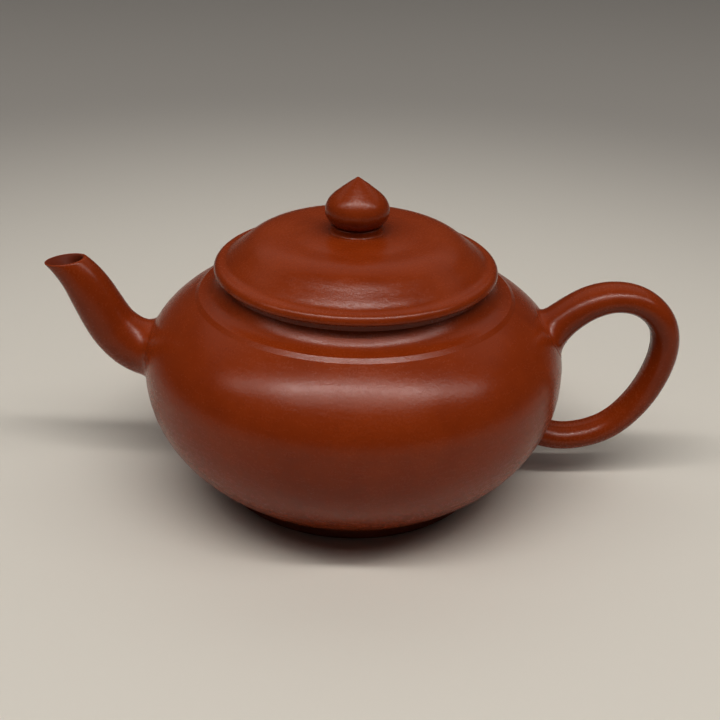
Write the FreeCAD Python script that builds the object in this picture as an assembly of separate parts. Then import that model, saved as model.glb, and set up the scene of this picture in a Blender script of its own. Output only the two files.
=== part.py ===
import FreeCAD
import Part
import math
import os

# A round clay teapot on a low foot, put together from slabs, coils and pressed pieces of clay.
# Sizes are in millimetres. The origin is on the upright axis, at the level that the foot stands on.
# The spout points along -X and the handle along +X.

# Belly: a short upright stretch at its widest, with an ellipse above it and one below, in one wall
belly_radius = 45.0
belly_lower_drop = 32.0
belly_upright = 2.0
belly_upper_rise = 22.0
wall = 2.6

# Base disc and foot ring
base_radius = 29.8
base_thickness = 2.8
foot_inset = 0.3
foot_width = 3.2
foot_height = 2.5
foot_draw_in = 0.4
foot_edge = 0.5

# Mouth and neck
mouth_radius = 24.8
neck_width = 3.2
neck_height = 1.6
neck_edge = 0.4

# Shoulder plate, with a steeper bevel at its edge and a hollow curve up to the neck.
# The curve goes through (distance out from the neck, drop below the neck's foot).
shoulder_width = 5.9
shoulder_rise = 3.95
shoulder_bevel = (0.88, 0.74)
shoulder_hollow = [(0.95, 1.28), (1.55, 1.9), (2.1, 2.35), (3.2, 2.88)]
neck_lean = 33.0
bevel_lean = 81.0
plate_thickness = 2.6
plate_slope = 17.7

# Lid: flat underneath where it rests on the neck, hollow inside its flange.
# Its upper side goes through (distance in from the edge, height above the neck): up the side, shoulder, crown.
lid_overhang = 1.75
lip_thickness = 2.06
lip_edge = 0.5
lid_side = [(3.36, 2.95), (5.33, 4.5), (6.97, 5.79)]
lid_shoulder = (9.6, 7.16)
lid_crown = (15.69, 7.7)
lid_height = 8.25
lid_hollow = 5.0
flange_clearance = 0.3
flange_width = 2.9
flange_depth = 7.0
flange_edge = 0.7
vent_radius = 1.0
vent_offset = 9.5

# Collar and knob on the lid. The knob's side goes through (distance from its axis, height above its foot).
knob_seat_radius = 6.2
collar_radius = 5.35
collar_height = 1.48
collar_edge = 0.35
collar_cove = 0.6
collar_cove_start = 250.0
knob_foot_radius = 4.87
knob_belly = (6.37, 4.46)
knob_shoulder = (6.05, 5.08)
knob_side = (4.29, 6.91)
knob_hollow = (2.21, 8.56)
knob_height = 10.08
knob_tip = 0.3

# Spout: middle line as (reach past the belly, rise above its widest circle, outer radius), root first.
# The last station lies past the mouth, whose face is cut at the one before it.
spout_line = [(-6.0, 0.3, 6.2), (-0.3, 1.7, 6.1), (3.3, 3.1, 5.8), (6.95, 6.4, 5.3), (9.05, 10.1, 5.1),
              (11.4, 14.9, 4.8), (13.6, 18.6, 4.25), (16.7, 22.0, 3.5), (19.2, 24.2, 3.1)]
spout_tip_lean = 8.0
spout_wall = 2.1
spout_tip_wall = 1.6
spout_lip_edge = 0.5
spout_fillet_width = 0.7
spout_fillet_length = 3.2

# Strainer inside the belly: a half ball, pierced in rings (lean away from its axis, number of holes).
# The ball runs on past its half, and is trimmed to the curve of the wall.
strainer_lap = 0.9
strainer_wall = 1.7
strainer_turn = 115.0
strainer_hole_radius = 0.9
strainer_rings = [(0.0, 1), (34.0, 6), (64.0, 10)]

# Handle: middle line as (reach past the belly, rise above its widest circle, half thickness), upper root first.
# Its section is an oval, this many times as wide across the pot as it is thick.
handle_oval = 1.4
handle_line = [(-9.0, 4.45, 4.07), (-1.6, 10.2, 3.74), (1.4, 12.9, 3.5), (5.2, 15.5, 3.36),
               (10.3, 17.0, 3.14), (16.4, 16.0, 3.01), (21.5, 11.2, 2.97), (22.6, 4.2, 2.96),
               (20.2, -4.2, 2.93), (16.5, -10.4, 2.85), (11.3, -15.3, 2.79), (3.2, -17.6, 2.77),
               (-3.0, -16.6, 2.85), (-12.0, -13.0, 2.96)]
handle_fillet_width = 0.65
handle_fillet_length = 2.0

# A root fillet is set at these shares of its length on either side of where the rod meets the belly
fillet_shares = [-1.0, -0.5, 0.0, 0.3, 0.6, 1.0]
fillet_rim = 0.12

# What follows from the sizes above
foot_radius = base_radius - foot_inset
neck_radius = mouth_radius + neck_width
shoulder_radius = neck_radius + shoulder_width
lid_radius = neck_radius + lid_overhang
spout_hole_radius = spout_line[1][2] - spout_wall
strainer_bore = spout_hole_radius + strainer_lap
belly_z = foot_height + belly_lower_drop * math.sqrt(1 - (base_radius / belly_radius) ** 2)
upper_z = belly_z + belly_upright
shoulder_z = upper_z + belly_upper_rise * math.sqrt(1 - (shoulder_radius / belly_radius) ** 2)
neck_foot_z = shoulder_z + shoulder_rise
seat_z = neck_foot_z + neck_height
flange_radius = mouth_radius - flange_clearance
flange_bore = flange_radius - flange_width
lid_top_z = seat_z + lid_height
collar_top_z = lid_top_z + collar_height
spout_root_z = belly_z + spout_line[1][1]

# How finely a point on a surface is looked for
halvings = 40
touch = 1e-6

axis = FreeCAD.Vector(0, 0, 1)
sideways = FreeCAD.Vector(1, 0, 0)
level = FreeCAD.Vector(0, 1, 0)
origin = FreeCAD.Vector(0, 0, 0)


def at(r, z):
    return FreeCAD.Vector(r, 0, z)


def turned(centre_r, centre_z, radius, angle):
    turn = math.radians(angle)
    return at(centre_r + radius * math.cos(turn), centre_z + radius * math.sin(turn))


def line(a, b):
    return Part.LineSegment(a, b).toShape()


def arc(centre_r, centre_z, radius, start, end):
    points = [turned(centre_r, centre_z, radius, angle) for angle in (start, (start + end) / 2, end)]
    return Part.Arc(*points).toShape()


def smooth(points, start=None, end=None):
    curve = Part.BSplineCurve()
    if start is None:
        curve.interpolate(points)
    else:
        curve.interpolate(points, InitialTangent=start, FinalTangent=end)
    return curve


def outline(*steps):
    # A closed outline from points and edges in order: straight lines join whatever doesn't meet
    edges = []
    first = None
    last = None
    for step in steps:
        is_point = isinstance(step, FreeCAD.Vector)
        start = step if is_point else step.firstVertex(True).Point
        end = step if is_point else step.lastVertex(True).Point
        if last is None:
            first = start
        elif last.distanceToPoint(start) > touch:
            edges.append(line(last, start))
        if not is_point:
            edges.append(step)
        last = end
    if last.distanceToPoint(first) > touch:
        edges.append(line(last, first))
    return Part.Wire(edges)


def revolved(*steps):
    # A full turn about the axis, with the line where the turn closes at the back, clear of spout and handle
    solid = Part.Face(outline(*steps)).revolve(origin, axis, 360)
    return solid.rotated(origin, axis, 90)


def half_ellipse_arc(radius, height, centre_z, r_from, r_to):
    # Part of an ellipse about the axis, above its centre for a height above zero and below it otherwise
    ellipse = Part.Ellipse(at(radius, centre_z), at(0, centre_z + height), at(0, centre_z))
    angles = [math.acos(min(1.0, r / radius)) for r in (r_from, r_to)]
    edge = Part.ArcOfEllipse(ellipse, min(angles), max(angles)).toBSpline().toShape()
    return edge if angles[0] < angles[1] else edge.reversed()


def belly_side(thinner_by):
    # The belly's outline from the base up to the shoulder, drawn in by a wall or not
    radius = belly_radius - thinner_by
    lower = half_ellipse_arc(radius, thinner_by - belly_lower_drop, belly_z, base_radius, radius)
    upper = half_ellipse_arc(radius, belly_upper_rise - thinner_by, upper_z, radius, shoulder_radius)
    return lower, upper


def belly_solid(thinner_by):
    # The belly filled in, and closed flat at its base and shoulder
    lower, upper = belly_side(thinner_by)
    low_z = lower.firstVertex(True).Point.z
    high_z = upper.lastVertex(True).Point.z
    return revolved(at(0, low_z), lower, upper, at(0, high_z))


def make_body_wall():
    lower, upper = belly_side(0)
    inner_lower, inner_upper = belly_side(wall)
    shell = revolved(lower, upper, inner_upper.reversed(), inner_lower.reversed())
    through = 3 * wall
    hole = Part.makeCylinder(spout_hole_radius, through, at(-belly_radius - wall, spout_root_z), sideways)
    return shell.cut(hole)


def make_base_disc():
    top_z = foot_height + base_thickness
    return revolved(at(0, foot_height), at(base_radius, foot_height), at(base_radius, top_z), at(0, top_z))


def make_foot_ring():
    inner = foot_radius - foot_width
    return revolved(arc(inner + foot_edge, foot_edge, foot_edge, 180, 270),
                    arc(foot_radius - foot_edge, foot_edge, foot_edge, 270, 360),
                    at(foot_radius - foot_draw_in, foot_height),
                    at(inner, foot_height))


def make_shoulder_plate():
    bevel_width, bevel_rise = shoulder_bevel
    bevel_top = at(shoulder_radius - bevel_width, shoulder_z + bevel_rise)
    hollow = [at(neck_radius + out, neck_foot_z - drop) for out, drop in reversed(shoulder_hollow)]
    hollow_curve = smooth([bevel_top] + hollow + [at(neck_radius, neck_foot_z)],
                          turned(0, 0, 1, bevel_lean + 90), turned(0, 0, 1, neck_lean + 90))
    under_z = shoulder_z + bevel_rise - plate_thickness
    mouth_under_z = under_z + (shoulder_radius - mouth_radius) * math.tan(math.radians(plate_slope))
    return revolved(at(mouth_radius, mouth_under_z),
                    at(shoulder_radius, under_z),
                    at(shoulder_radius, shoulder_z),
                    hollow_curve.toShape(),
                    at(mouth_radius, neck_foot_z))


def make_neck_ring():
    return revolved(at(mouth_radius, neck_foot_z),
                    at(neck_radius, neck_foot_z),
                    arc(neck_radius - neck_edge, seat_z - neck_edge, neck_edge, 0, 90),
                    arc(mouth_radius + neck_edge, seat_z - neck_edge, neck_edge, 90, 180))


def middle_line(stations, side):
    points = [FreeCAD.Vector(side * (belly_radius + reach), 0, belly_z + rise) for reach, rise, _ in stations]
    return points, smooth(points)


def section(path, parameter, thick, wide):
    # A circle or an oval square to the middle line, from half its thickness and half its width
    tangent = path.tangent(parameter)[0]
    lean = math.degrees(math.atan2(tangent.x, tangent.z))
    if wide > thick:
        ring = Part.Ellipse(origin, wide, thick).toShape()
        quarter = FreeCAD.Rotation(axis, 90)
    else:
        ring = Part.makeCircle(thick, origin, axis)
        quarter = FreeCAD.Rotation()
    ring.Placement = FreeCAD.Placement(path.value(parameter), FreeCAD.Rotation(level, lean).multiply(quarter))
    return Part.Wire(ring)


def tube(stations, side, radii, oval=1.0):
    points, path = middle_line(stations, side)
    sections = [section(path, path.parameter(point), radius, oval * radius) for point, radius in zip(points, radii)]
    return Part.makeLoft(sections, True, False)


def outside(stations, side, oval=1.0):
    return tube(stations, side, [radius for _, _, radius in stations], oval)


def root_fillet(stations, side, width, length, oval=1.0):
    # Filling clay in the corner round a root: a flare that thins out along the rod from the first station
    points, path = middle_line(stations, side)
    knots = [path.parameter(point) for point in points]
    inside = knots[0]
    clear = knots[2]
    for _ in range(halvings):
        middle = (inside + clear) / 2
        if belly.isInside(path.value(middle), touch, True):
            inside = middle
        else:
            clear = middle
    sections = []
    for share in fillet_shares:
        parameter = path.parameterAtDistance(share * length, clear)
        after = next(i for i, knot in enumerate(knots) if knot > parameter)
        part_way = (parameter - knots[after - 1]) / (knots[after] - knots[after - 1])
        rod = stations[after - 1][2] + part_way * (stations[after][2] - stations[after - 1][2])
        proud = fillet_rim + width * (1 - share) ** 2
        sections.append(section(path, parameter, rod + proud, oval * rod + proud))
    flare = Part.makeLoft(sections, True, False)
    return flare.cut(outside(stations, side, oval)).cut(belly)


def spout_bore():
    tip = len(spout_line) - 2
    radii = []
    for index, (_, _, radius) in enumerate(spout_line):
        share = min(1.0, index / tip)
        radii.append(radius - spout_wall - share * (spout_tip_wall - spout_wall))
    return tube(spout_line, -1, radii)


def past_tip():
    # Everything past the spout's mouth, whose face leans outwards a little
    reach, rise, radius = spout_line[-2]
    tip = FreeCAD.Vector(-belly_radius - reach, 0, belly_z + rise)
    size = 4 * radius
    block = Part.makeBox(size, size, size, FreeCAD.Vector(-size / 2, -size / 2, 0))
    block.Placement = FreeCAD.Placement(tip, FreeCAD.Rotation(level, -spout_tip_lean))
    return block


def make_spout():
    spout = outside(spout_line, -1).cut(spout_bore()).cut(past_tip()).cut(belly)
    outwards = FreeCAD.Rotation(level, -spout_tip_lean).multVec(axis)
    mouth = max(spout.Faces, key=lambda face: face.CenterOfMass.dot(outwards))
    return spout.makeFillet(min(spout_lip_edge, spout_tip_wall / 3), mouth.Edges)


def make_spout_joint_fillet():
    return root_fillet(spout_line, -1, spout_fillet_width, spout_fillet_length)


def make_ball_strainer():
    centre = at(wall - belly_radius, spout_root_z)
    shell = outline(arc(centre.x, centre.z, strainer_bore + strainer_wall, 0, strainer_turn),
                    arc(centre.x, centre.z, strainer_bore, strainer_turn, 0))
    dome = Part.Face(shell).revolve(centre, sideways, 360).common(belly_solid(wall))
    through = 2 * strainer_bore
    drills = []
    for lean, count in strainer_rings:
        along = math.cos(math.radians(lean))
        away = math.sin(math.radians(lean))
        for index in range(count):
            around = 2 * math.pi * index / count
            direction = FreeCAD.Vector(along, away * math.cos(around), away * math.sin(around))
            drills.append(Part.makeCylinder(strainer_hole_radius, through, centre, direction))
    return dome.cut(drills)


def make_handle():
    return outside(handle_line, 1, handle_oval).cut(belly)


def make_handle_upper_joint_fillet():
    return root_fillet(handle_line, 1, handle_fillet_width, handle_fillet_length, handle_oval)


def make_handle_lower_joint_fillet():
    return root_fillet(handle_line[::-1], 1, handle_fillet_width, handle_fillet_length, handle_oval)


def make_lid_flange():
    low = seat_z - flange_depth
    return revolved(at(flange_bore, seat_z),
                    arc(flange_bore + flange_edge, low + flange_edge, flange_edge, 180, 270),
                    arc(flange_radius - flange_edge, low + flange_edge, flange_edge, 270, 360),
                    at(flange_radius, seat_z))


def make_lid_plate():
    lip_round = lip_thickness - lip_edge
    lip_z = seat_z + lip_edge
    crown_slope = (lid_height - lid_crown[1]) / (lid_radius - lid_crown[0])
    across = [(lip_round, lip_thickness)] + lid_side + [lid_shoulder, lid_crown]
    rise = [at(lid_radius - inset, seat_z + height) for inset, height in across]
    top = smooth(rise + [at(knob_seat_radius, lid_top_z)], at(-1, 0), at(-1, crown_slope))
    under = half_ellipse_arc(flange_bore, lid_hollow, seat_z, 0, flange_bore)
    plate = revolved(arc(lid_radius - lip_edge, lip_z, lip_edge, -90, 0),
                     arc(lid_radius - lip_round, lip_z, lip_round, 0, 90),
                     top.toShape(), at(0, lid_top_z), under)
    vent = Part.makeCylinder(vent_radius, lid_height, FreeCAD.Vector(0, vent_offset, seat_z))
    return plate.cut(vent)


def make_knob_collar():
    cove = arc(collar_radius + collar_cove, lid_top_z + collar_cove, collar_cove, collar_cove_start, 180)
    return revolved(at(0, lid_top_z),
                    at(cove.firstVertex(True).Point.x, lid_top_z),
                    cove,
                    arc(collar_radius - collar_edge, collar_top_z - collar_edge, collar_edge, 0, 90),
                    at(0, collar_top_z))


def make_knob():
    shape = [at(r, collar_top_z + rise) for r, rise in (knob_belly, knob_shoulder, knob_side, knob_hollow)]
    foot = at(knob_foot_radius, collar_top_z)
    tip_z = collar_top_z + knob_height
    side = smooth([foot] + shape + [at(knob_tip, tip_z - knob_tip / 2)])
    return revolved(at(0, collar_top_z), side.toShape(), at(0, tip_z))


belly = belly_solid(0)
pieces = {
    "body_wall": make_body_wall,
    "base_disc": make_base_disc,
    "foot_ring": make_foot_ring,
    "shoulder_plate": make_shoulder_plate,
    "neck_ring": make_neck_ring,
    "spout": make_spout,
    "spout_joint_fillet": make_spout_joint_fillet,
    "ball_strainer": make_ball_strainer,
    "handle": make_handle,
    "handle_upper_joint_fillet": make_handle_upper_joint_fillet,
    "handle_lower_joint_fillet": make_handle_lower_joint_fillet,
    "lid_flange": make_lid_flange,
    "lid_plate": make_lid_plate,
    "knob_collar": make_knob_collar,
    "knob": make_knob,
}

os.makedirs("parts", exist_ok=True)
for name, make in pieces.items():
    shape = make()
    print(name, "valid", shape.isValid(), "solids", len(shape.Solids), "volume", round(shape.Volume, 1))
    shape.exportStep("parts/" + name + ".step")
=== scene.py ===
import math

import bmesh
import bpy
from mathutils import Matrix, Vector
from mathutils.bvhtree import BVHTree
from mathutils.geometry import interpolate_bezier


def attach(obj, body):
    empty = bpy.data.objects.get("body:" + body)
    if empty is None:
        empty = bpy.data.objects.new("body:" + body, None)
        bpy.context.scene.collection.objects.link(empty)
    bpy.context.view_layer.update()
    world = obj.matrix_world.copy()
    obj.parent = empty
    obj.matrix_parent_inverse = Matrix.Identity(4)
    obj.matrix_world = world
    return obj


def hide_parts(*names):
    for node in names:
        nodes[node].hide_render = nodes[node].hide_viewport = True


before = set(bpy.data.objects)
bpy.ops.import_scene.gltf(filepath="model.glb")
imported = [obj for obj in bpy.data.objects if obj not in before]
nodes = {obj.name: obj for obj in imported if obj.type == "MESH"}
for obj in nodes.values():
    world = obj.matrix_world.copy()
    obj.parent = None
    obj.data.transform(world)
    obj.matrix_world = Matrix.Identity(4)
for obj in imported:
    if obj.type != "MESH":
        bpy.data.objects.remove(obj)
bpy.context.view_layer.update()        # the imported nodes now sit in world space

mm = 0.001
scene = bpy.context.scene


# a shader socket that takes part in Python sums
class Wire:
    def __init__(self, tree, socket=None):
        self.tree = tree
        self.socket = socket

    def node(self, kind, settings=None, values=None, out=0):
        made = self.tree.nodes.new("ShaderNode" + kind)
        for name, value in (settings or {}).items():
            if name == "stops":
                self.fillRamp(made.color_ramp, value)
            else:
                setattr(made, name, value)
        for name, value in (values or {}).items():
            if isinstance(value, Wire):
                self.tree.links.new(value.socket, made.inputs[name])
            else:
                made.inputs[name].default_value = value
        return Wire(self.tree, made.outputs[out])

    def fillRamp(self, ramp, stops):
        while len(ramp.elements) < len(stops):
            ramp.elements.new(1.0)
        for element, (place, colour) in zip(ramp.elements, stops):
            element.position = place
            element.color = (*colour, 1.0)

    def combine(self, operation, first, second):
        return self.node("Math", {"operation": operation}, {0: first, 1: second})

    def __add__(self, other): return self.combine("ADD", self, other)
    def __radd__(self, other): return self.combine("ADD", other, self)
    def __mul__(self, other): return self.combine("MULTIPLY", self, other)
    def __rmul__(self, other): return self.combine("MULTIPLY", other, self)
    def __pow__(self, other): return self.combine("POWER", self, other)
    def __rpow__(self, other): return self.combine("POWER", other, self)

    def between(self, low, high, fromLow, fromHigh):         # eased and clamped
        return self.node("MapRange", {"interpolation_type": "SMOOTHSTEP"},
                         {"Value": self, "From Min": fromLow, "From Max": fromHigh,
                          "To Min": low, "To Max": high})


def newMaterial(name):
    material = bpy.data.materials.new(name)
    material.use_nodes = True
    tree = material.node_tree
    return material, Wire(tree), tree.nodes["Principled BSDF"]


def blendColours(wire, share, under, upper):
    under = under if isinstance(under, Wire) else (*under, 1.0)
    return wire.node("Mix", {"data_type": "RGBA"}, {0: share, 6: under, 7: (*upper, 1.0)}, out=2)


# red clay; scales count waves or cells per metre
burnished = {
    "body": (0.250, 0.0385, 0.0042),
    "darker": (0.200, 0.0275, 0.0025),
    "lighter": (0.298, 0.0500, 0.0068),
    "toneStops": (0.30, 0.52, 0.74),                         # where darker, body and lighter lie
    "toneParts": (0.55, 0.25, 0.2),                          # of mottle, cloud and grain
    "mottle": {"Scale": 38.0, "Detail": 4.0, "Roughness": 0.55},
    "cloud": {"Scale": 170.0, "Detail": 3.0, "Roughness": 0.6},
    "grain": {"Scale": 2300.0, "Detail": 3.0, "Roughness": 0.65},
    "peel": {"Scale": 1050.0, "Detail": 2.0, "Roughness": 0.5, "Distortion": 1.2},
    "strokes": {"Scale": 1.0, "Detail": 2.0, "Roughness": 0.5, "Distortion": 0.7},
    "strokeLong": 350.0, "strokeShort": 1400.0,
    "paleSpeck": (0.46, 0.16, 0.08), "paleScale": 1500.0, "paleSize": 0.28, "paleShare": 0.05,
    "darkSpeck": (0.075, 0.010, 0.003), "darkScale": 1150.0, "darkSize": 0.26, "darkShare": 0.3,
    "speckCore": 0.3, "speckPick": (0.92, 0.98),
    "roughLow": 0.19, "roughHigh": 0.31,
    "roughParts": (0.25, 0.4, 0.35), "roughSpan": (0.33, 0.67),   # of mottle, grain and strokes
    "gloss": 0.32,
    "relief": 0.2 * mm,
    "grainRelief": 0.04, "peelRelief": 0.12, "strokeRelief": 0.03, "cloudRelief": 0.05,
}
# bare clay for the unburnished pieces: rougher and less glossy, and its darker colour is painted shade under
# and inside the pot
bareShaded = dict(
    burnished, body=(0.140, 0.0200, 0.0035), darker=(0.112, 0.0150, 0.0022), lighter=(0.168, 0.0260, 0.0050),
    roughLow=0.50, roughHigh=0.68, gloss=0.2, strokeRelief=0.0)


def clay(name, look):
    material, wire, shader = newMaterial(name)
    place = wire.node("TexCoord", out=3)                     # Object
    x, y, z = [wire.node("SeparateXYZ", values={0: place}, out=i) for i in range(3)]
    away = (x * x + y * y) ** 0.5

    def noise(kind):
        return wire.node("TexNoise", {"noise_dimensions": "3D"}, {"Vector": place, **look[kind]})

    def specks(scale, size):                                 # 1 in the middle of a few cells
        spread = {"Vector": place, "Scale": scale}
        cell = wire.node("TexVoronoi", {"feature": "F1"}, spread)
        chance = wire.node("TexVoronoi", {"feature": "F1"}, spread, out=1)
        pick = wire.node("SeparateColor", values={0: chance})
        return (cell.between(1.0, 0.0, size * look["speckCore"], size)
                * pick.between(0.0, 1.0, *look["speckPick"]))

    # burnishing strokes run round the axis: slow along x and y, quick along height and distance from the axis
    slow, quick = look["strokeLong"], look["strokeShort"]
    along = wire.node("CombineXYZ", values={0: x * slow, 1: y * slow, 2: z * quick})
    strokes = wire.node("TexNoise", {"noise_dimensions": "4D"},
                        {"Vector": along, "W": away * quick, **look["strokes"]})
    mottle, cloud, grain, peel = [noise(kind) for kind in ("mottle", "cloud", "grain", "peel")]
    pale = specks(look["paleScale"], look["paleSize"])
    dark = specks(look["darkScale"], look["darkSize"])

    ofMottle, ofCloud, ofGrain = look["toneParts"]
    stops = list(zip(look["toneStops"], (look["darker"], look["body"], look["lighter"])))
    tone = wire.node("ValToRGB", {"stops": stops}, {0: mottle * ofMottle + cloud * ofCloud + grain * ofGrain})
    colour = blendColours(wire, pale * look["paleShare"], tone, look["paleSpeck"])
    colour = blendColours(wire, dark * look["darkShare"], colour, look["darkSpeck"])

    ofMottle, ofGrain, ofStrokes = look["roughParts"]
    rough = mottle * ofMottle + grain * ofGrain + strokes * ofStrokes
    rough = rough.between(look["roughLow"], look["roughHigh"], *look["roughSpan"])
    height = (grain * look["grainRelief"] + peel * look["peelRelief"]
              + strokes * look["strokeRelief"] + cloud * look["cloudRelief"])
    bump = wire.node("Bump", values={"Strength": 1.0, "Distance": look["relief"], "Height": height})

    for socketName, value in {"Base Color": colour, "Roughness": rough, "Normal": bump}.items():
        wire.tree.links.new(value.socket, shader.inputs[socketName])
    shader.inputs["Specular IOR Level"].default_value = look["gloss"]
    return material


satinClay = clay("satin red clay", burnished)
rawShadedClay = clay("raw red clay with painted shade", bareShaded)
# the foot, base, strainer and lid flange take the bare clay, whose darker colour is painted shade
unburnishedShaded = ("foot_ring", "base_disc", "ball_strainer", "lid_flange")
for name, node in nodes.items():
    for slot in node.material_slots:
        slot.material = rawShadedClay if name in unburnishedShaded else satinClay
print("clay on", len(nodes), "nodes")


# rods and tubes that grow out of the belly
rodLook = {
    "bellyMiddle": (0.045, 0.0, 0.02648),                    # belly's radius, and height of its widest circle
    "smoothing": 60, "halvings": 24, "stride": 0.05, "lookBack": 0.1,
    "blendPull": 0.6, "rimDip": 0.05, "rimTuck": 0.3,
}
bellySkin = BVHTree.FromObject(nodes["body_wall"], bpy.context.evaluated_depsgraph_get())
bellyMiddle = Vector(rodLook["bellyMiddle"])


def middleLine(stations, side, steps, oval=1.0):
    # places along a smooth line through the stations, as (centre, radius, two ways across), evenly stepped
    # per span; the line lies in the XZ plane, so the radius rides along in y
    knots = [Vector((side * (bellyMiddle.x + reach * mm), radius * mm, bellyMiddle.z + rise * mm))
             for reach, rise, radius in stations]
    ends = [2 * knots[0] - knots[1]] + knots + [2 * knots[-1] - knots[-2]]
    line = []
    for i in range(1, len(ends) - 2):
        before, here, there, after = ends[i - 1:i + 3]
        span = (there - here).length
        lean = (there - before).normalized() * span / 3
        leanOn = (after - here).normalized() * span / 3
        line += interpolate_bezier(here, here + lean, there - leanOn, there, steps + 1)[:-1]
    line.append(knots[-1])
    for _ in range(rodLook["smoothing"]):                    # evens out the bends at the stations
        line = line[:1] + [(a + 2 * b + c) / 4 for a, b, c in zip(line, line[1:], line[2:])] + line[-1:]
    spots = []
    for i, spot in enumerate(line):
        ahead = line[min(i + 1, len(line) - 1)] - line[max(i - 1, 0)]
        across = Vector((-ahead.z, 0.0, ahead.x)).normalized()
        spots.append((Vector((spot.x, 0.0, spot.z)), spot.y, across, Vector((0.0, oval, 0.0))))
    return spots


def skinPoint(spots, at, turn, thinner=0.0, shift=Vector()):
    # a point on the rod's skin: at counts places along the line, turn goes round from the way across
    low = min(int(at), len(spots) - 2)
    part = at - low
    (centre, radius, across, sideways), (centreOn, radiusOn, acrossOn, _) = spots[low], spots[low + 1]
    centre = centre.lerp(centreOn, part) + shift
    radius = radius + (radiusOn - radius) * part - thinner
    across = across.lerp(acrossOn, part).normalized()
    return centre + radius * (across * math.cos(turn) + sideways * math.sin(turn))


def aboveBelly(point):
    near, normal, _, _ = bellySkin.find_nearest(point)
    return (point - near).dot(normal)


def onBelly(point, lift):
    near, normal, _, _ = bellySkin.find_nearest(point)
    return near + normal * lift


def crossing(curve, measure, start, end):
    # where the curve's measure changes sign between two places, start being the positive side
    for _ in range(rodLook["halvings"]):
        middle = (start + end) / 2
        if measure(curve(middle)) > 0:
            start = middle
        else:
            end = middle
    return (start + end) / 2


def walk(curve, at, distance, step):
    # the first place along the curve, in small strides, that lies the distance away
    start = curve(at)
    while (curve(at) - start).length < distance:
        at += step * rodLook["stride"]
    return at


def mixReach(first, second, share):
    return [(a + (b - a) * share) * mm for a, b in zip(first, second)]


def blendAtRoot(spots, turn, inside, outside, onRod, along, look):
    # one line of the soft joint: down the rod, round the corner and out along the belly, then under its skin
    def curve(at):
        return skinPoint(spots, at, turn)

    corner = crossing(curve, aboveBelly, outside, inside)
    step = 1 if outside > inside else -1
    leave = walk(curve, corner, onRod, step)
    top, hub = curve(leave), onBelly(curve(corner), 0.0)
    _, normal, _, _ = bellySkin.find_nearest(hub)
    out = hub - spots[min(int(corner), len(spots) - 2)][0]
    out = (out - normal * out.dot(normal)).normalized()
    rim = onBelly(hub + out * along, look["rimLift"] * mm)
    down = (curve(leave - step * rodLook["lookBack"]) - top).normalized() * onRod
    pull = rodLook["blendPull"]
    points = interpolate_bezier(top, top + down * pull, rim.lerp(hub, pull), rim, look["blendRings"] + 1)[1:]
    edge, tuck = look["rimEdge"] * mm, rodLook["rimTuck"] * mm
    points.append(onBelly(rim + out * edge, -rodLook["rimDip"] * mm))
    points.append(onBelly(rim + out * (edge - tuck), -look["sunk"] * mm))
    return leave, points


def growRings(bm, columns):
    # one ring of vertices, drawn out ring by ring along the columns of points
    count = len(columns)
    ring = bmesh.ops.create_circle(bm, segments=count, radius=mm)["verts"]
    edges = first = [bm.edges.get((ring[i], ring[i - 1])) for i in range(count)]
    for level in range(len(columns[0])):
        if level:
            grown = set(bmesh.ops.extrude_edge_only(bm, edges=edges)["geom"])
            ring = [next(e.other_vert(v) for e in v.link_edges if e.other_vert(v) in grown) for v in ring]
            edges = [bm.edges.get((ring[i], ring[i - 1])) for i in range(count)]
        for vert, column in zip(ring, columns):
            vert.co = column[level]
    bm.verts.index_update()                                  # the faces in the same order on every run
    bm.faces.sort(key=lambda face: min(v.index for v in face.verts) + max(v.index for v in face.verts) * 1e-6)
    return first, edges


def addPiece(name, bm, body, *stands):
    bmesh.ops.recalc_face_normals(bm, faces=bm.faces)
    mesh = bpy.data.meshes.new(name)
    bm.to_mesh(mesh)
    bm.free()
    mesh.shade_smooth()
    for finish in (satinClay, rawShadedClay):
        mesh.materials.append(finish)
    piece = bpy.data.objects.new(name, mesh)
    scene.collection.objects.link(piece)
    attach(piece, body)
    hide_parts(*stands)
    print(name, len(mesh.polygons), "faces")


# sizes in mm; a station is its reach from the belly, its rise from the widest circle, and its radius;
# a pair at a root says how far the joint goes up the rod and out along the belly
spoutLook = {
    "line": [(-6.0, 0.3, 6.2), (-0.3, 1.7, 6.1), (3.3, 3.1, 5.8), (6.95, 6.4, 5.3), (9.05, 10.1, 5.1),
             (11.4, 14.9, 4.8), (13.6, 18.6, 4.25), (16.7, 22.0, 3.5), (19.2, 24.2, 3.1)],
    "mouth": (16.65, 22.1), "lean": 8.0,
    "around": 96, "along": 70, "spanSteps": 16, "clearSpans": 3,   # spans until the rod is clear of the belly
    "tipFrom": 0.5, "holeFrom": 0.4,                         # shares of the line that are short of the mouth
    "upper": (2.2, 0.8), "under": (1.3, 0.5), "beside": (2.6, 2.2),
    "blendRings": 12, "rimLift": 0.0, "rimEdge": 1.0, "sunk": 1.3,
    "lipWall": 2.05, "rootWall": 2.1, "wallEnd": 0.875,      # the wall thins up to this share of the line
    "boreShift": 1.4, "shiftStart": 0.55,
    "boreRoot": 0.9, "boreRings": 40,
    "lipRound": 0.45, "lipRings": 7, "lipPull": 0.6,
    "dish": 3.0, "dishDrop": 0.55, "dishRings": 9, "dishPull": (0.4, 0.25),
}


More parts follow.
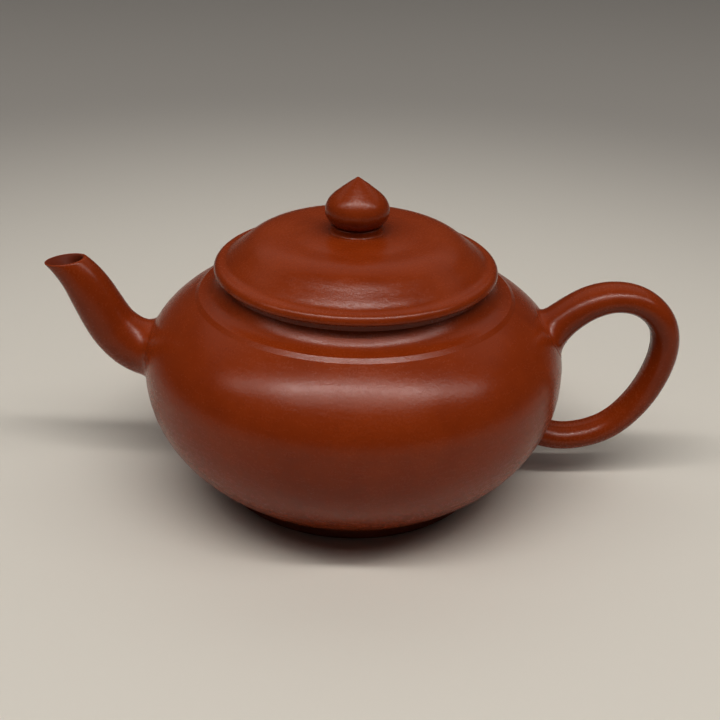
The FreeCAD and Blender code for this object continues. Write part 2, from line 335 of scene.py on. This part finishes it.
def makeSpout(look):
    spots = middleLine(look["line"], -1, look["spanSteps"])
    last = len(spots) - 1.001                                # just short of the line's end
    root = look["spanSteps"]
    reach, rise = look["mouth"]
    mouthMiddle = Vector((-bellyMiddle.x - reach * mm, 0.0, bellyMiddle.z + rise * mm))
    mouthUp = Matrix.Rotation(math.radians(-look["lean"]), 3, "Y") @ Vector((0.0, 0.0, 1.0))

    def pastMouth(point):
        return (point - mouthMiddle).dot(mouthUp)

    def wallAt(at):
        thinned = min(1.0, at / (last * look["wallEnd"]))
        return (look["rootWall"] + (look["lipWall"] - look["rootWall"]) * thinned) * mm

    def shiftAt(at):                                         # the bore sits off centre at the mouth
        start = look["shiftStart"]
        share = max(0.0, (at - last * start) / (last * (1.0 - start)))
        return Vector((look["boreShift"] * mm * share * share, 0.0, 0.0))

    columns = []
    for i in range(look["around"]):
        turn = 2 * math.pi * i / look["around"]

        def skin(at):
            return skinPoint(spots, at, turn)

        def bore(at):
            return skinPoint(spots, at, turn, wallAt(at), shiftAt(at))

        under, beside = (1 + math.cos(turn)) / 2, math.sin(turn) ** 2
        onRod, along = [around + more * beside * mm for around, more
                        in zip(mixReach(look["upper"], look["under"], under), look["beside"])]
        leave, blend = blendAtRoot(spots, turn, 0.0, root * look["clearSpans"], onRod, along, look)
        tip = crossing(skin, pastMouth, last, last * look["tipFrom"])
        hole = crossing(bore, pastMouth, last, last * look["holeFrom"])
        neck = walk(skin, tip, look["lipRound"] * mm, -1)
        deep = walk(bore, hole, look["dish"] * mm, -1)
        rim, edge = skin(tip), bore(hole) - mouthUp * look["dishDrop"] * mm
        flat = rim + (edge - rim).normalized() * look["lipRound"] * mm
        rise = [skin(leave + (neck - leave) * k / look["along"]) for k in range(look["along"])]
        pull = look["lipPull"]
        lip = interpolate_bezier(skin(neck), skin(neck).lerp(rim, pull), flat.lerp(rim, pull), flat,
                                 look["lipRings"])
        atRim, inBore = look["dishPull"]
        dish = interpolate_bezier(flat, flat.lerp(edge, atRim), bore(deep).lerp(edge, inBore), bore(deep),
                                  look["dishRings"])
        rings = look["boreRings"]
        pipe = [bore(deep + (root * look["boreRoot"] - deep) * k / rings) for k in range(1, rings + 1)]
        columns.append(blend[::-1] + rise + lip + dish[1:] + pipe)
    bm = bmesh.new()
    first, end = growRings(bm, columns)
    bmesh.ops.bridge_loops(bm, edges=first + end)
    outer = (len(blend) + len(rise) + len(lip) - 1) * look["around"]
    for face in list(bm.faces)[outer:]:                      # the mouth and the bore aren't burnished, and their darker colour is painted shade
        face.material_index = 1
    addPiece("spout.blended", bm, "pot", "spout", "spout_joint_fillet")


handleLook = {
    "line": [(-9.0, 4.45, 4.07), (-1.6, 10.2, 3.74), (1.4, 12.9, 3.5), (5.2, 15.5, 3.36), (10.3, 17.0, 3.14),
             (16.4, 16.0, 3.01), (21.5, 11.2, 2.97), (22.6, 4.2, 2.96), (20.2, -4.2, 2.93), (16.5, -10.4, 2.85),
             (11.3, -15.3, 2.79), (3.2, -17.6, 2.77), (-3.0, -16.6, 2.85), (-12.0, -13.0, 2.96)],
    "oval": 1.4,                                             # how many times as wide as it is thick
    "around": 80, "along": 150, "spanSteps": 16, "clearSpans": (3, 2),
    "blendRings": 12, "rimLift": 0.08, "rimEdge": 0.45, "sunk": 1.3,
    "upperTop": (1.7, 0.8), "upperUnder": (6.0, 3.0),
    "lowerTop": (2.0, 1.0), "lowerUnder": (1.2, 0.6),
}


def makeHandle(look):
    spots = middleLine(look["line"], 1, look["spanSteps"], look["oval"])
    last = len(spots) - 1.001                                # just short of the line's end
    clearTop, clearLow = [look["spanSteps"] * spans for spans in look["clearSpans"]]
    columns = []
    for i in range(look["around"]):
        turn = 2 * math.pi * i / look["around"]
        outer = (1 + math.cos(turn)) / 2                     # 1 on the outer side of the bend
        atTop = mixReach(look["upperUnder"], look["upperTop"], outer)
        atLow = mixReach(look["lowerTop"], look["lowerUnder"], outer)
        leaveTop, top = blendAtRoot(spots, turn, 0.0, clearTop, *atTop, look)
        leaveLow, low = blendAtRoot(spots, turn, last, last - clearLow, *atLow, look)
        rod = [skinPoint(spots, leaveTop + (leaveLow - leaveTop) * k / look["along"], turn)
               for k in range(look["along"] + 1)]
        columns.append(top[::-1] + rod + low)
    bm = bmesh.new()
    first, end = growRings(bm, columns)
    bmesh.ops.edgeloop_fill(bm, edges=first)
    bmesh.ops.edgeloop_fill(bm, edges=end)
    addPiece("handle.blended", bm, "pot",
             "handle", "handle_upper_joint_fillet", "handle_lower_joint_fillet")


makeSpout(spoutLook)
makeHandle(handleLook)


# floor, light and camera
stageLook = {
    "near": (0.65, 0.607, 0.538), "far": (0.38, 0.351, 0.317),
    "fade": (0.11, 0.38),                                    # painted shade: the floor darkens from near to far, in metres from the axis
    "floorSize": 6.0, "floorRough": 0.6, "patches": {"Scale": 3.0, "Detail": 3.0}, "patchShare": 0.02,
    "air": (1.0, 1.0, 1.0), "airStrength": 0.05, "gamma": 0.84,
}
lampLook = {"height": 1.0, "colour": (1.0, 1.0, 1.0)}
lamps = {                                # middle, size, turn in degrees, power, shows in gloss; all face down
    "strip": ((0.0, -0.30), (1.2, 0.09), 0.0, 7.5, True),
    "fringe": ((0.0, -0.52), (1.2, 0.26), 0.0, 2.6, True),
    "left": ((-0.90, -0.22), (0.70, 0.26), -12.0, 2.2, True),
    "right": ((0.92, -0.20), (0.75, 0.28), 12.0, 3.0, True),
    "behind": ((0.0, 1.00), (2.4, 1.40), 0.0, 4.0, True),
    "behindSoft": ((0.0, 1.00), (2.4, 1.40), 0.0, 4.0, False),
}
cameraLook = {
    "place": (0.00138, -0.21569, 0.13587), "lens": 55.0, "sensor": 36.0, "nearest": 0.01,
    "right": (0.9996198, 0.01245339, 0.02460015), "up": (-0.02757271, 0.45148458, 0.8918528),
    "forward": (0.0, 0.89219201, -0.4516563),
}


def makeFloor(look):
    bm = bmesh.new()
    bmesh.ops.create_grid(bm, x_segments=4, y_segments=4, size=look["floorSize"] / 2)
    mesh = bpy.data.meshes.new("floor")
    bm.to_mesh(mesh)
    bm.free()
    material, wire, shader = newMaterial("pale floor")
    place = wire.node("TexCoord", out=3)                     # Object
    x, y = [wire.node("SeparateXYZ", values={0: place}, out=i) for i in range(2)]
    patches = wire.node("TexNoise", values={"Vector": place, **look["patches"]})
    away = (x * x + y * y) ** 0.5 + patches * look["patchShare"]
    # painted shade: the floor is darker away from the pot, as if less light reached it there
    tone = blendColours(wire, away.between(0.0, 1.0, *look["fade"]), look["near"], look["far"])
    wire.tree.links.new(tone.socket, shader.inputs["Base Color"])
    shader.inputs["Roughness"].default_value = look["floorRough"]
    mesh.materials.append(material)
    floor = bpy.data.objects.new("floor", mesh)
    scene.collection.objects.link(floor)


def makeLamp(name, look, middle, size, turn, power, inGloss):
    light = bpy.data.lights.new(name, "AREA")
    light.shape = "RECTANGLE"
    light.size, light.size_y = size
    light.energy = power
    light.color = look["colour"]
    lamp = bpy.data.objects.new(name, light)
    lamp.location = (*middle, look["height"])
    lamp.rotation_euler.z = math.radians(turn)
    lamp.visible_glossy = inGloss
    scene.collection.objects.link(lamp)


def makeAir(look):
    world = bpy.data.worlds.new("air")
    world.use_nodes = True
    background = world.node_tree.nodes["Background"]
    background.inputs["Color"].default_value = (*look["air"], 1.0)
    background.inputs["Strength"].default_value = look["airStrength"]
    scene.world = world


def makeCamera(look):
    camera = bpy.data.objects.new("camera", bpy.data.cameras.new("camera"))
    camera.data.lens = look["lens"]
    camera.data.sensor_width = look["sensor"]
    camera.data.clip_start = look["nearest"]
    axes = [Vector(look["right"]), Vector(look["up"]), -Vector(look["forward"])]
    turned = Matrix(axes).transposed().to_4x4()
    turned.translation = look["place"]
    camera.matrix_world = turned
    scene.collection.objects.link(camera)
    scene.camera = camera


makeFloor(stageLook)
for name, settings in lamps.items():
    makeLamp(name, lampLook, *settings)
makeAir(stageLook)
makeCamera(cameraLook)
scene.view_settings.view_transform = "Standard"
scene.view_settings.gamma = stageLook["gamma"]
print("floor, lamps and camera are in place")
